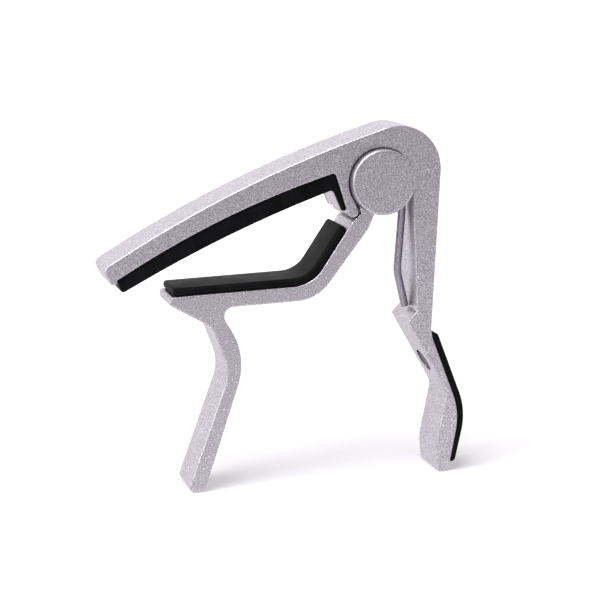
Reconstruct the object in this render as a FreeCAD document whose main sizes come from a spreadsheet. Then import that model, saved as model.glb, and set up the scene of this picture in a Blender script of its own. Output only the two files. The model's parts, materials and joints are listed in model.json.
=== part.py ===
"""Trigger guitar capo: upper jaw and rear handle in one casting, lower arm with trigger lever.

The outlines lie in the XZ plane and every casting is symmetric about Y = 0.
X runs from the jaw tip to the rear handle, Z is up, and the capo stands on Z = 0
on the lever end and the foot of the rear handle.  All sizes are in millimetres.
"""
import FreeCAD, Part
import math
import os

import Sketcher
from FreeCAD import Vector

doc = FreeCAD.newDocument("GuitarCapo")

# ---------------------------------------------------------------------------
# Driving dimensions
# ---------------------------------------------------------------------------
# "reach" is measured from the pivot towards the jaw tip, "out" from the pivot towards
# the rear handle, "rise" and "drop" are above and below the pivot, "height" is above the floor.
SIZES = {
    # pivot axis
    "pivot_across": 22.16,
    "pivot_height": 72.3,
    # depths along Y
    "frame_depth": 12.6,
    "lever_depth": 12.0,
    "pad_depth": 11.8,
    "edge_round": 0.45,
    # upper jaw, top line and tip
    "tip_reach": 66.6,
    "tip_drop": 17.5,
    "tip_round": 1.7,
    "tip_end_reach": 64.5,
    "tip_end_drop": 21.4,
    "tip_lip_reach": 63.1,
    "tip_lip_drop": 21.0,
    "tip_lip_round": 0.55,
    "arm_bow": 5.0,
    "arm_bow_place": 0.415,
    "heel_out": 15.7,
    "heel_rise": 17.1,
    "heel_round": 10.7,
    # upper jaw, seat of the string pad
    "seat_tip_drop": 20.2,
    "seat_bow": 3.25,
    "seat_bow_place": 0.492,
    "seat_end_reach": 11.3,
    "seat_end_rise": 2.4,
    "seat_end_round": 0.9,
    # claw that drops in front of the pivot and stops the lower arm
    "claw_left_reach": 7.9,
    "claw_right_reach": 5.0,
    "claw_drop": 8.3,
    "claw_round": 1.2,
    "claw_sill_reach": 7.0,
    "claw_sill_drop": 3.0,
    # rib on the claw, between the two side walls of the string pad's tongue
    "rib_depth": 9.6,
    "rib_top_drop": 2.15,
    "rib_root_reach": 7.4,
    # rear handle
    "handle_kink_out": 13.0,
    "handle_kink_height": 34.8,
    "handle_kink_round": 9.0,
    "paddle_out": 20.7,
    "paddle_height": 14.8,
    "paddle_round": 17.0,
    "foot_outer_out": 17.9,
    "foot_inner_out": 15.1,
    "foot_outer_round": 1.3,
    "foot_inner_round": 0.8,
    "paddle_inner_out": 14.6,
    "paddle_inner_height": 6.5,
    "paddle_inner_round": 14.0,
    "knee_out": 17.3,
    "knee_height": 19.9,
    "knee_round": 4.0,
    "ledge_low_out": 7.0,
    "ledge_low_height": 38.0,
    "ledge_top_out": 9.35,
    "ledge_top_height": 40.6,
    "ledge_round": 0.6,
    "handle_inner_out": 7.8,
    "handle_sill_drop": 1.5,
    "sill_round": 0.8,
    # pivot: cheek discs, pockets, webs, pin, sleeve and washers
    "disc_radius": 7.8,
    "disc_proud": 2.4,
    "disc_round": 0.7,
    "pocket_clearance": 0.3,
    "pocket_depth": 2.3,
    "web_radius": 7.0,
    "fork_clearance": 0.45,
    "pin_radius": 2.0,
    "pin_running_clearance": 0.05,
    "pin_fit_clearance": 0.02,
    "pin_chamfer": 0.35,
    "front_cap_thickness": 1.4,
    "washer_thickness": 0.4,
    "washer_radius": 5.6,
    "face_clearance": 0.05,
    "sleeve_wall": 2.1,
    # torsion spring
    "wire_diameter": 1.9,
    "coil_clearance": 0.45,
    "coil_pitch_gap": 0.03,
    "coil_whole_turns": 1,
    "coil_part_turn": 0.64,
    "coil_room": 0.8,
    "spring_slot_clearance": 0.12,
    "leg_neck_out": 6.8,
    "leg_neck_drop": 7.1,
    "leg_neck_bend": 14.0,
    "leg_knee_out": 6.05,
    "leg_knee_height": 49.6,
    "leg_knee_bend": 9.0,
    "leg_knee_side": 0.52,
    "leg_foot_out": 8.3,
    "leg_foot_height": 40.75,
    "hook_angle": 238.0,
    "hook_length": 3.3,
    "hook_lead": 1.6,
    "hook_bend": 1.598,
    "hook_slot_clearance": 0.15,
    # lower arm: neck bed and trigger lever
    "hub_left_reach": 5.5,
    "hub_left_drop": 5.3,
    "shoulder_reach": 4.8,
    "shoulder_drop": 7.5,
    "shoulder_round": 0.4,
    "hub_right_reach": 0.3,
    "hub_right_drop": 5.0,
    "notch_reach": 6.9,
    "notch_drop": 9.25,
    "notch_round": 1.2,
    "bed_bend_reach": 16.75,
    "bed_bend_drop": 24.0,
    "bed_bend_round": 9.0,
    "nose_reach": 51.0,
    "nose_drop": 24.95,
    "nose_under_reach": 50.8,
    "nose_under_drop": 27.0,
    "nose_round": 0.7,
    "chin_reach": 41.1,
    "chin_drop": 32.5,
    "chin_round": 7.0,
    "lever_front_reach": 36.9,
    "lever_front_height": 28.8,
    "lever_front_round": 10.5,
    "lever_foot_front_reach": 47.4,
    "lever_foot_width": 4.2,
    "lever_foot_round": 1.5,
    "lever_bend_width": 4.3,
    "lever_bend_lift": 3.3,
    "lever_back_round": 16.0,
    "armpit_reach": 39.6,
    "armpit_drop": 28.2,
    "armpit_round": 2.2,
    "belly_reach": 15.5,
    "belly_drop": 27.5,
    "belly_round": 10.0,
    "throat_reach": 2.9,
    "throat_drop": 11.2,
    "throat_round": 6.0,
    # rubber pads
    "pad_gap": 0.05,
    "string_pad_tip_reach": 62.2,
    "string_pad_tip_drop": 23.45,
    "string_pad_tip_round": 0.8,
    "string_pad_bow": 2.15,
    "string_pad_bow_place": 0.499,
    "string_pad_end_reach": 11.7,
    "string_pad_end_drop": 1.6,
    "tongue_reach": 9.5,
    "tongue_drop": 6.65,
    "tongue_round": 0.45,
    "tongue_root_round": 0.9,
    "neck_pad_thickness": 1.9,
    "neck_pad_inset": 0.9,
    "neck_pad_stop": 2.1,
    "neck_pad_end_round": 1.1,
    # thumb grip on the rear handle and its rivet
    "grip_thickness": 1.6,
    "grip_foot_thickness": 1.25,
    "grip_top_rise": 0.3,
    "grip_top_lift": 0.3,
    "grip_top_slant": 1.2,
    "grip_seat_run": 2.4,
    "grip_foot_inset": 2.4,
    "grip_end_round": 1.1,
    "rivet_inset": 8.0,
    "rivet_head_height": 0.6,
    "rivet_grip_depth": 0.8,
    "rivet_head_radius": 2.6,
    "rivet_hole_radius": 3.0,
    "rivet_shank_radius": 1.3,
    "rivet_clearance": 0.1,
    "counterbore_depth": 0.8,
    # how much of the shorter leg of a bowed run its arc takes up
    "arch_share": 0.87,
}

sheet = doc.addObject("Spreadsheet::Sheet", "dims")
for row, (alias, number) in enumerate(SIZES.items(), start=1):
    sheet.set(f"A{row}", alias)
    sheet.set(f"B{row}", str(number))
    sheet.setAlias(f"B{row}", alias)
doc.recompute()


class Size:
    """A length that knows both its number and the sheet expression that gives it."""

    def __init__(self, value, text):
        self.value = float(value)
        self.text = text

    @staticmethod
    def of(other):
        return other if isinstance(other, Size) else Size(other, repr(float(other)))

    def _join(self, sign, other, value):
        return Size(value, f"({self.text} {sign} {other.text})")

    def __add__(self, other):
        other = Size.of(other)
        return self._join("+", other, self.value + other.value)

    def __sub__(self, other):
        other = Size.of(other)
        return self._join("-", other, self.value - other.value)

    def __mul__(self, other):
        other = Size.of(other)
        return self._join("*", other, self.value * other.value)

    def __truediv__(self, other):
        other = Size.of(other)
        return self._join("/", other, self.value / other.value)

    def __neg__(self):
        return Size(-self.value, f"(0 - {self.text})")

    def root(self):
        return Size(math.sqrt(self.value), f"sqrt({self.text})")


def cell(alias):
    """The sheet's value under this alias, as a Size."""
    return Size(sheet.get(alias), f"dims.{alias}")


def reach(alias):
    """X of a point that lies this far from the pivot towards the jaw tip."""
    return PIVOT_X - cell(alias)


def out(alias):
    """X of a point that lies this far from the pivot towards the rear handle."""
    return PIVOT_X + cell(alias)


def rise(alias):
    return PIVOT_Z + cell(alias)


def drop(alias):
    return PIVOT_Z - cell(alias)


PIVOT_X = cell("pivot_across")
PIVOT_Z = cell("pivot_height")
FLOOR = Size.of(0.0)
SHARP = None


# ---------------------------------------------------------------------------
# Sketch and feature helpers
# ---------------------------------------------------------------------------
def new_body(name):
    body = doc.addObject("PartDesign::Body", name)
    body.Label = name
    return body


def new_sketch(body, name, role="XZ_Plane"):
    plane = next(f for f in body.Origin.OriginFeatures if f.Role == role)
    sketch = body.newObject("Sketcher::SketchObject", name)
    sketch.AttachmentSupport = (plane, [""])
    sketch.MapMode = "FlatFace"
    return sketch


def bind(sketch, index, name, size):
    sketch.renameConstraint(index, name)
    sketch.setExpression(f"Constraints.{name}", size.text)


def pin_point(sketch, geometry, point, x, z, name):
    """Fix one point of a sketch at a place given by two sizes."""
    across = sketch.addConstraint(
        Sketcher.Constraint("DistanceX", -1, 1, geometry, point, x.value))
    up = sketch.addConstraint(
        Sketcher.Constraint("DistanceY", -1, 1, geometry, point, z.value))
    bind(sketch, across, name + "_x", x)
    bind(sketch, up, name + "_z", z)


def circle(sketch, x, z, radius, name):
    index = sketch.addGeometry(
        Part.Circle(Vector(x.value, z.value, 0), Vector(0, 0, 1), radius.value))
    bind(sketch, sketch.addConstraint(Sketcher.Constraint("Radius", index, radius.value)),
         name + "_r", radius)
    pin_point(sketch, index, 3, x, z, name)


def corner_arc(before, corner, after, radius):
    """Tangent points, centre and turning sense of the arc that rounds a corner."""
    to_before = (before - corner).normalize()
    to_after = (after - corner).normalize()
    half = to_before.getAngle(to_after) / 2
    cut = radius / math.tan(half)
    middle = (to_before + to_after).normalize()
    centre = corner + middle * (radius / math.sin(half))
    left_turn = to_after.cross(to_before).z > 0
    return corner + to_before * cut, corner + to_after * cut, centre, left_turn


def outline(sketch, corners):
    """Closed outline of straight runs whose corners are rounded by tangent arcs.

    corners is a list of (x, z, radius), and a radius of SHARP leaves the corner square.
    """
    count = len(corners)
    places = [Vector(x.value, z.value, 0) for x, z, _ in corners]
    starts, ends, arcs = [None] * count, [None] * count, [None] * count
    for i, (_, _, radius) in enumerate(corners):
        if radius is SHARP:
            ends[i - 1] = starts[i] = places[i]
            continue
        enter, leave, centre, left = corner_arc(
            places[i - 1], places[i], places[(i + 1) % count], radius.value)
        ends[i - 1], starts[i] = enter, leave
        first, last = (enter, leave) if left else (leave, enter)
        angle = [math.atan2(p.y - centre.y, p.x - centre.x) for p in (first, last)]
        if angle[1] < angle[0]:
            angle[1] += 2 * math.pi
        round_ = Part.Circle(centre, Vector(0, 0, 1), radius.value)
        arcs[i] = (Part.ArcOfCircle(round_, angle[0], angle[1]), left)

    lines = [sketch.addGeometry(Part.LineSegment(starts[i], ends[i])) for i in range(count)]
    for i, (x, z, radius) in enumerate(corners):
        before, after = lines[i - 1], lines[i]
        if radius is SHARP:
            sketch.addConstraint(Sketcher.Constraint("Coincident", before, 2, after, 1))
            pin_point(sketch, after, 1, x, z, f"c{i}")
            continue
        arc = sketch.addGeometry(arcs[i][0])
        entry, exit_ = (1, 2) if arcs[i][1] else (2, 1)
        mark = sketch.addGeometry(Part.Point(places[i]), True)
        sketch.addConstraint([
            Sketcher.Constraint("Tangent", before, 2, arc, entry),
            Sketcher.Constraint("Tangent", after, 1, arc, exit_),
            Sketcher.Constraint("PointOnObject", mark, 1, before),
            Sketcher.Constraint("PointOnObject", mark, 1, after),
        ])
        turn = sketch.addConstraint(Sketcher.Constraint("Radius", arc, radius.value))
        bind(sketch, turn, f"c{i}_r", radius)
        pin_point(sketch, mark, 1, x, z, f"c{i}")
    return sketch


def pad(body, sketch, name, depth):
    """Pad a sketch by the same depth to both sides of its plane."""
    feature = body.newObject("PartDesign::Pad", name)
    feature.Profile = sketch
    feature.Midplane = True
    feature.setExpression("Length", depth.text)
    return feature


def side_plane(body, name, distance):
    """Sketch parallel to the XZ plane, this far in front of it (towards -Y)."""
    sketch = new_sketch(body, name)
    sketch.setExpression(".AttachmentOffset.Base.z", distance.text)
    return sketch


def one_side(body, kind, sketch, name, length, backwards):
    feature = body.newObject(kind, name)
    feature.Profile = sketch
    feature.setExpression("Length", length.text)
    feature.Reversed = backwards
    return feature


def fillet(body, name, radius, wanted):
    """Round the edges of the body's current shape that the test picks."""
    doc.recompute()
    base = body.Tip
    edges = [f"Edge{i}" for i, edge in enumerate(base.Shape.Edges, start=1) if wanted(edge)]
    feature = body.newObject("PartDesign::Fillet", name)
    feature.Base = (base, edges)
    feature.setExpression("Radius", radius.text)
    return feature


def at_depth(edge, depth):
    """True when the whole edge lies in one of the two planes Y = +depth or Y = -depth."""
    box = edge.BoundBox
    flat = box.YMax - box.YMin < 1e-4
    return flat and abs(abs(box.YMax) - depth) < 1e-4


# ---------------------------------------------------------------------------
# Points built from sizes
# ---------------------------------------------------------------------------
def heading(a, b):
    """Unit vector, as two sizes, from point a to point b."""
    dx, dz = b[0] - a[0], b[1] - a[1]
    length = (dx * dx + dz * dz).root()
    return dx / length, dz / length


def step(point, direction, distance, side=None):
    """The point moved along a direction, and by side to the left of it."""
    x = point[0] + direction[0] * distance
    z = point[1] + direction[1] * distance
    if side is not None:
        x, z = x - direction[1] * side, z + direction[0] * side
    return x, z


def offset_corner(a, b, c, distance):
    """The corner b of the path a, b, c moved to the path that runs this far to its left."""
    first, second = heading(a, b), heading(b, c)
    share = distance / (first[0] * second[0] + first[1] * second[1] + 1)
    return (b[0] - (first[1] + second[1]) * share,
            b[1] + (first[0] + second[0]) * share)


def rounded(point, radius):
    return point[0], point[1], radius


def bowed(a, b, place, bow):
    """Corner and radius of the shallow arch that bows to the left of the run from a to b.

    place is the corner's share of the run, below one half, and bow is its height over the run.
    """
    dx, dz = b[0] - a[0], b[1] - a[1]
    square = dx * dx + dz * dz
    corner = step(a, heading(a, b), square.root() * place, bow)
    radius = square * cell("arch_share") * place * place * (Size.of(1) - place) * 2 / bow
    return rounded(corner, radius)


FRAME_HALF = cell("frame_depth") / 2
LEVER_HALF = cell("lever_depth") / 2
POCKET_FLOOR = FRAME_HALF - cell("pocket_depth")
CHEEK_INNER = POCKET_FLOOR + cell("washer_thickness") + cell("face_clearance") * 2
CHEEK_OUTER = FRAME_HALF + cell("disc_proud")
COIL_TURNS = cell("coil_whole_turns") + cell("coil_part_turn")
COIL_HALF = (cell("wire_diameter") + cell("coil_pitch_gap")) * (COIL_TURNS + 1) / 2
LEG_SIDE = COIL_HALF - cell("wire_diameter") / 2
SLOT_HALF = COIL_HALF + cell("spring_slot_clearance")
SLEEVE_OUTER = cell("pin_radius") + cell("pin_running_clearance") + cell("sleeve_wall")
COIL_RADIUS = SLEEVE_OUTER + cell("coil_clearance") + cell("wire_diameter") / 2
SLOT_RADIUS = COIL_RADIUS + cell("wire_diameter") / 2 + cell("coil_room")
PIN_BORE = cell("pin_radius") + cell("pin_running_clearance")
PIVOT = (PIVOT_X, PIVOT_Z)

KNEE = (out("knee_out"), cell("knee_height"))
LEDGE_LOW = (out("ledge_low_out"), cell("ledge_low_height"))
LEDGE_TOP = (out("ledge_top_out"), cell("ledge_top_height"))
HANDLE_KINK = (out("handle_kink_out"), cell("handle_kink_height"))
PADDLE = (out("paddle_out"), cell("paddle_height"))
FOOT = (out("foot_outer_out"), FLOOR)
TIP = (reach("tip_reach"), drop("tip_drop"))
HEEL = (out("heel_out"), rise("heel_rise"))
SEAT_TIP = (reach("tip_lip_reach"), drop("seat_tip_drop"))
SEAT_END = (reach("seat_end_reach"), rise("seat_end_rise"))
SEAT_ARCH = bowed(SEAT_TIP, SEAT_END, cell("seat_bow_place"), cell("seat_bow"))
CLAW_LEFT = (reach("claw_left_reach"), drop("claw_drop"))
NOSE = (reach("nose_reach"), drop("nose_drop"))
BED_BEND = (reach("bed_bend_reach"), drop("bed_bend_drop"))
NOTCH = (reach("notch_reach"), drop("notch_drop"))
LEVER_FRONT = (reach("lever_front_reach"), cell("lever_front_height"))
LEVER_FOOT = (reach("lever_foot_front_reach"), FLOOR)



def claw_wall(drop_):
    """X of the claw's straight left wall this far below the pivot."""
    share = (cell("seat_end_rise") + drop_) / (cell("seat_end_rise") + cell("claw_drop"))
    return SEAT_END[0] + (CLAW_LEFT[0] - SEAT_END[0]) * share


def tongue_face(drop_):
    """X of the tongue's straight left face this far below the pivot."""
    share = ((drop_ - cell("string_pad_end_drop"))
             / (cell("tongue_drop") - cell("string_pad_end_drop")))
    return STRIP_END[0] + (TONGUE[0] - STRIP_END[0]) * share


STRIP_END = (reach("string_pad_end_reach"), drop("string_pad_end_drop"))
TONGUE = (reach("tongue_reach"), drop("tongue_drop"))
RIB_TOP = (tongue_face(cell("rib_top_drop")), drop("rib_top_drop"))

# The rivet's axis leaves the inner face of the rear handle at right angles, pointing down and
# towards the lever.  RIVET_SEAT is where the axis meets that face.
INNER_FACE = heading(KNEE, LEDGE_LOW)
RIVET_SEAT = step(KNEE, INNER_FACE, cell("rivet_inset"))
INTO_PADDLE = (INNER_FACE[1], -INNER_FACE[0])


def paddle_thickness():
    """Depth of the paddle along the rivet's axis, from the inner face to the outer one."""
    run = heading(HANDLE_KINK, PADDLE)
    across = (-run[1], run[0])
    gap = ((HANDLE_KINK[0] - RIVET_SEAT[0]) * across[0]
           + (HANDLE_KINK[1] - RIVET_SEAT[1]) * across[1])
    return gap / (INTO_PADDLE[0] * across[0] + INTO_PADDLE[1] * across[1])


PADDLE_THICKNESS = paddle_thickness()


def ring_corners(steps):
    """Corners of a half section on the rivet's axis: each step is (depth, radius)."""
    return [step(RIVET_SEAT, INTO_PADDLE, depth, radius) + (SHARP,) for depth, radius in steps]


def on_rivet_axis(sketch):
    """Add the rivet's axis to the sketch as a construction line."""
    start, end = RIVET_SEAT, step(RIVET_SEAT, INTO_PADDLE, PADDLE_THICKNESS)
    line = sketch.addGeometry(
        Part.LineSegment(Vector(start[0].value, start[1].value, 0),
                         Vector(end[0].value, end[1].value, 0)), True)
    pin_point(sketch, line, 1, *start, "axis_start")
    pin_point(sketch, line, 2, *end, "axis_end")


def turned(body, kind, name, steps):
    """Solid or cut of revolution about the rivet's axis."""
    sketch = new_sketch(body, name + "_section")
    outline(sketch, ring_corners(steps))
    on_rivet_axis(sketch)
    feature = body.newObject(kind, name)
    feature.Profile = sketch
    feature.ReferenceAxis = (sketch, ["Axis0"])
    feature.Angle = 360
    return feature


# ---------------------------------------------------------------------------
# Frame: upper jaw, pivot housing, claw and rear handle in one die casting
# ---------------------------------------------------------------------------
def make_frame():
    body = new_body("frame")
    sketch = new_sketch(body, "frame_outline")
    outline(sketch, [
        rounded(TIP, cell("tip_round")),
        bowed(TIP, HEEL, cell("arm_bow_place"), cell("arm_bow")),
        rounded(HEEL, cell("heel_round")),
        rounded(HANDLE_KINK, cell("handle_kink_round")),
        rounded(PADDLE, cell("paddle_round")),
        rounded(FOOT, cell("foot_outer_round")),
        (out("foot_inner_out"), FLOOR, cell("foot_inner_round")),
        (out("paddle_inner_out"), cell("paddle_inner_height"), cell("paddle_inner_round")),
        rounded(KNEE, cell("knee_round")),
        rounded(LEDGE_LOW, cell("ledge_round")),
        rounded(LEDGE_TOP, cell("ledge_round")),
        (out("handle_inner_out"), drop("handle_sill_drop"), cell("sill_round")),
        (reach("claw_sill_reach"), drop("claw_sill_drop"), cell("sill_round")),
        (reach("claw_right_reach"), drop("claw_drop"), cell("claw_round")),
        rounded(CLAW_LEFT, cell("claw_round")),
        rounded(SEAT_END, cell("seat_end_round")),
        SEAT_ARCH,
        rounded(SEAT_TIP, SHARP),
        (reach("tip_lip_reach"), drop("tip_lip_drop"), cell("tip_lip_round")),
        (reach("tip_end_reach"), drop("tip_end_drop"), cell("tip_lip_round")),
    ])
    pad(body, sketch, "frame_casting", cell("frame_depth"))
    fillet(body, "frame_edges", cell("edge_round"), lambda e: at_depth(e, FRAME_HALF.value))

    rib = new_sketch(body, "claw_rib_outline")
    outline(rib, [
        (reach("rib_root_reach"), drop("rib_top_drop"), SHARP),
        rounded(RIB_TOP, SHARP),
        rounded(TONGUE, cell("tongue_round")),
        (reach("rib_root_reach"), drop("tongue_drop"), SHARP),
    ])
    pad(body, rib, "claw_rib", cell("rib_depth"))
    for side, sign in (("front", 1), ("back", -1)):
        pocket = side_plane(body, f"{side}_pocket_circle", FRAME_HALF * sign)
        circle(pocket, *PIVOT, cell("disc_radius") + cell("pocket_clearance"), "pocket")
        one_side(body, "PartDesign::Pocket", pocket, f"{side}_pocket",
                 cell("pocket_depth"), sign < 0)
    web = new_sketch(body, "web_circle")
    circle(web, *PIVOT, cell("web_radius"), "web")
    pad(body, web, "webs", POCKET_FLOOR * 2)
    slot = new_sketch(body, "spring_slot_circle")
    circle(slot, *PIVOT, SLOT_RADIUS, "slot")
    through(body, slot, "spring_slot", SLOT_HALF * 2)
    bore = new_sketch(body, "web_bore_circle")
    circle(bore, *PIVOT, PIN_BORE, "bore")
    through(body, bore, "web_bores", cell("frame_depth"))
    deep = PADDLE_THICKNESS * 2
    turned(body, "PartDesign::Groove", "rivet_hole", [
        (-deep, FLOOR), (deep, FLOOR),
        (deep, cell("rivet_shank_radius") + cell("rivet_clearance")),
        (cell("counterbore_depth"), cell("rivet_shank_radius") + cell("rivet_clearance")),
        (cell("counterbore_depth"), cell("rivet_hole_radius")),
        (-deep, cell("rivet_hole_radius")),
    ])
    return body


def through(body, sketch, name, depth):
    """Cut a sketch by the same depth to both sides of its plane."""
    feature = body.newObject("PartDesign::Pocket", name)
    feature.Profile = sketch
    feature.Midplane = True
    feature.setExpression("Length", depth.text)
    return feature


# ---------------------------------------------------------------------------
# Lower arm: neck bed, trigger lever and the two cheek discs of the pivot
# ---------------------------------------------------------------------------
def hook_line():
    """Start of the spring's hook at the coil, and the hook's direction away from the pivot."""
    angle = cell("hook_angle")
    away = (Size(math.cos(math.radians(angle.value)), f"cos({angle.text})"),
            Size(math.sin(math.radians(angle.value)), f"sin({angle.text})"))
    start = step(PIVOT, away, COIL_RADIUS + cell("hook_lead"), cell("hook_lead"))
    return start, away


def make_lower_arm():
    body = new_body("lower_arm")
    sketch = new_sketch(body, "arm_outline")
    outline(sketch, [
        (reach("hub_left_reach"), drop("hub_left_drop"), SHARP),
        (reach("shoulder_reach"), drop("shoulder_drop"), cell("shoulder_round")),
        rounded(NOTCH, cell("notch_round")),
        rounded(BED_BEND, cell("bed_bend_round")),
        rounded(NOSE, cell("nose_round")),
        (reach("nose_under_reach"), drop("nose_under_drop"), cell("nose_round")),
        (reach("chin_reach"), drop("chin_drop"), cell("chin_round")),
        rounded(LEVER_FRONT, cell("lever_front_round")),
        rounded(LEVER_FOOT, cell("lever_foot_round")),
        (LEVER_FOOT[0] + cell("lever_foot_width"), FLOOR, cell("lever_foot_round")),
        (LEVER_FRONT[0] + cell("lever_bend_width"), LEVER_FRONT[1] + cell("lever_bend_lift"),
         cell("lever_back_round")),
        (reach("armpit_reach"), drop("armpit_drop"), cell("armpit_round")),
        (reach("belly_reach"), drop("belly_drop"), cell("belly_round")),
        (reach("throat_reach"), drop("throat_drop"), cell("throat_round")),
        (reach("hub_right_reach"), drop("hub_right_drop"), SHARP),
    ])
    pad(body, sketch, "arm_casting", cell("lever_depth"))
    fillet(body, "arm_edges", cell("edge_round"), lambda e: at_depth(e, LEVER_HALF.value))
    fork = new_sketch(body, "fork_circle")
    circle(fork, *PIVOT, cell("web_radius") + cell("fork_clearance"), "fork")
    through(body, fork, "fork_slot", CHEEK_INNER * 2)
    for side, sign in (("front", 1), ("back", -1)):
        cheek = side_plane(body, f"{side}_cheek_circle", CHEEK_INNER * sign)
        circle(cheek, *PIVOT, cell("disc_radius"), "disc")
        one_side(body, "PartDesign::Pad", cheek, f"{side}_cheek",
                 CHEEK_OUTER - CHEEK_INNER, sign < 0)
    fillet(body, "disc_rims", cell("disc_round"), lambda e: at_depth(e, CHEEK_OUTER.value))
    bore = side_plane(body, "pin_bore_circle", -CHEEK_OUTER)
    circle(bore, *PIVOT, cell("pin_radius") + cell("pin_fit_clearance"), "bore")
    one_side(body, "PartDesign::Pocket", bore, "pin_bore",
             CHEEK_OUTER * 2 - cell("front_cap_thickness"), True)
    start, away = hook_line()
    half = cell("wire_diameter") / 2 + cell("hook_slot_clearance")
    slot = side_plane(body, "hook_slot_outline", half - LEG_SIDE)
    outline(slot, [
        step(start, away, -half, half) + (SHARP,),
        step(start, away, -half, -half) + (SHARP,),
        step(start, away, cell("hook_length") + cell("hook_slot_clearance"), -half) + (SHARP,),
        step(start, away, cell("hook_length") + cell("hook_slot_clearance"), half) + (SHARP,),
    ])
    one_side(body, "PartDesign::Pocket", slot, "hook_slot", half * 2, False)
    return body


# ---------------------------------------------------------------------------
# Rubber: string pad, neck pad and thumb grip
# ---------------------------------------------------------------------------
def make_string_pad():
    """Strip under the upper jaw, with a two-walled tongue that runs down the claw's rib."""
    gap = cell("pad_gap")
    body = new_body("string_pad")
    sketch = new_sketch(body, "string_pad_outline")
    tip = (reach("string_pad_tip_reach"), drop("string_pad_tip_drop"))
    outline(sketch, [
        (SEAT_TIP[0] + gap, SEAT_TIP[1] - gap * 2, SHARP),
        (SEAT_ARCH[0], SEAT_ARCH[1] - gap, SEAT_ARCH[2]),
        (SEAT_END[0] - gap, SEAT_END[1] - gap, cell("seat_end_round")),
        (claw_wall(cell("tongue_drop")) - gap * 2, drop("tongue_drop"), SHARP),
        rounded(TONGUE, cell("tongue_round")),
        rounded(STRIP_END, cell("tongue_root_round")),
        bowed(tip, STRIP_END, cell("string_pad_bow_place"), cell("string_pad_bow")),
        rounded(tip, cell("string_pad_tip_round")),
    ])
    pad(body, sketch, "string_pad_strip", cell("pad_depth"))
    room = new_sketch(body, "rib_room_outline")
    outline(room, [
        (reach("rib_root_reach"), drop("rib_top_drop") + gap, SHARP),
        (STRIP_END[0], drop("rib_top_drop") + gap, SHARP),
        (STRIP_END[0], drop("claw_drop"), SHARP),
        (reach("rib_root_reach"), drop("claw_drop"), SHARP),
    ])
    through(body, room, "rib_room", cell("rib_depth") + gap * 2)
    return body


def make_neck_pad():
    """Strip on the bed of the lower arm that bends up along its neck."""
    gap, top = cell("pad_gap"), cell("pad_gap") + cell("neck_pad_thickness")
    along, upward = heading(NOSE, BED_BEND), heading(BED_BEND, NOTCH)
    left = step(NOSE, along, cell("neck_pad_inset"))
    right = step(NOTCH, upward, -cell("neck_pad_stop"))
    body = new_body("neck_pad")
    sketch = new_sketch(body, "neck_pad_outline")
    outline(sketch, [
        step(left, along, FLOOR, gap) + (SHARP,),
        rounded(offset_corner(NOSE, BED_BEND, NOTCH, gap), cell("bed_bend_round")),
        step(right, upward, FLOOR, gap) + (SHARP,),
        step(right, upward, FLOOR, top) + (cell("neck_pad_end_round"),),
        rounded(offset_corner(NOSE, BED_BEND, NOTCH, top),
                cell("bed_bend_round") - cell("neck_pad_thickness")),
        step(left, along, FLOOR, top) + (cell("neck_pad_end_round"),),
    ])
    pad(body, sketch, "neck_pad_strip", cell("pad_depth"))
    return body


def make_thumb_grip():
    """Strip on the outside of the rear handle's paddle, its top end following the kink above."""
    gap, top = cell("pad_gap"), cell("pad_gap") + cell("grip_thickness")
    upper, lower = heading(HANDLE_KINK, PADDLE), heading(PADDLE, FOOT)
    start = step(HANDLE_KINK, upper, -cell("grip_top_rise"))
    end = step(FOOT, lower, -cell("grip_foot_inset"))
    body = new_body("thumb_grip")
    sketch = new_sketch(body, "thumb_grip_outline")
    outline(sketch, [
        step(start, upper, FLOOR, gap + cell("grip_top_lift")) + (SHARP,),
        step(HANDLE_KINK, upper, cell("grip_seat_run"), gap) + (SHARP,),
        rounded(offset_corner(HANDLE_KINK, PADDLE, FOOT, gap), cell("paddle_round")),
        step(end, lower, FLOOR, gap) + (SHARP,),
        step(end, lower, FLOOR, gap + cell("grip_foot_thickness")) + (cell("grip_end_round"),),
        rounded(offset_corner(HANDLE_KINK, PADDLE, FOOT, top), cell("paddle_round")),
        step(start, upper, cell("grip_top_slant"), top) + (cell("grip_end_round"),),
    ])
    pad(body, sketch, "thumb_grip_strip", cell("pad_depth"))
    return body


# ---------------------------------------------------------------------------
# Pivot: pin, sleeve and washers
# ---------------------------------------------------------------------------
def make_pivot_pin():
    """Pin pressed in from the back, blind behind the smooth front disc."""
    body = new_body("pivot_pin")
    sketch = side_plane(body, "pin_circle", -CHEEK_OUTER)
    circle(sketch, *PIVOT, cell("pin_radius"), "pin")
    one_side(body, "PartDesign::Pad", sketch, "pin_length",
             CHEEK_OUTER * 2 - cell("front_cap_thickness") - cell("face_clearance"), False)
    doc.recompute()
    base = body.Tip
    rims = [f"Edge{i}" for i, edge in enumerate(base.Shape.Edges, start=1)
            if edge.BoundBox.YLength < 1e-4]
    chamfer = body.newObject("PartDesign::Chamfer", "pin_ends")
    chamfer.Base = (base, rims)
    chamfer.setExpression("Size", cell("pin_chamfer").text)
    return body


def make_ring(name, inner, outer, depth, start=None, backwards=False):
    """Flat ring about the pivot axis, centred on Y = 0 unless it starts at a side plane."""
    body = new_body(name)
    sketch = new_sketch(body, name + "_circles") if start is None else side_plane(
        body, name + "_circles", start)
    circle(sketch, *PIVOT, inner, "inner")
    circle(sketch, *PIVOT, outer, "outer")
    if start is None:
        pad(body, sketch, name + "_ring", depth)
    else:
        one_side(body, "PartDesign::Pad", sketch, name + "_ring", depth, backwards)
    return body


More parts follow.
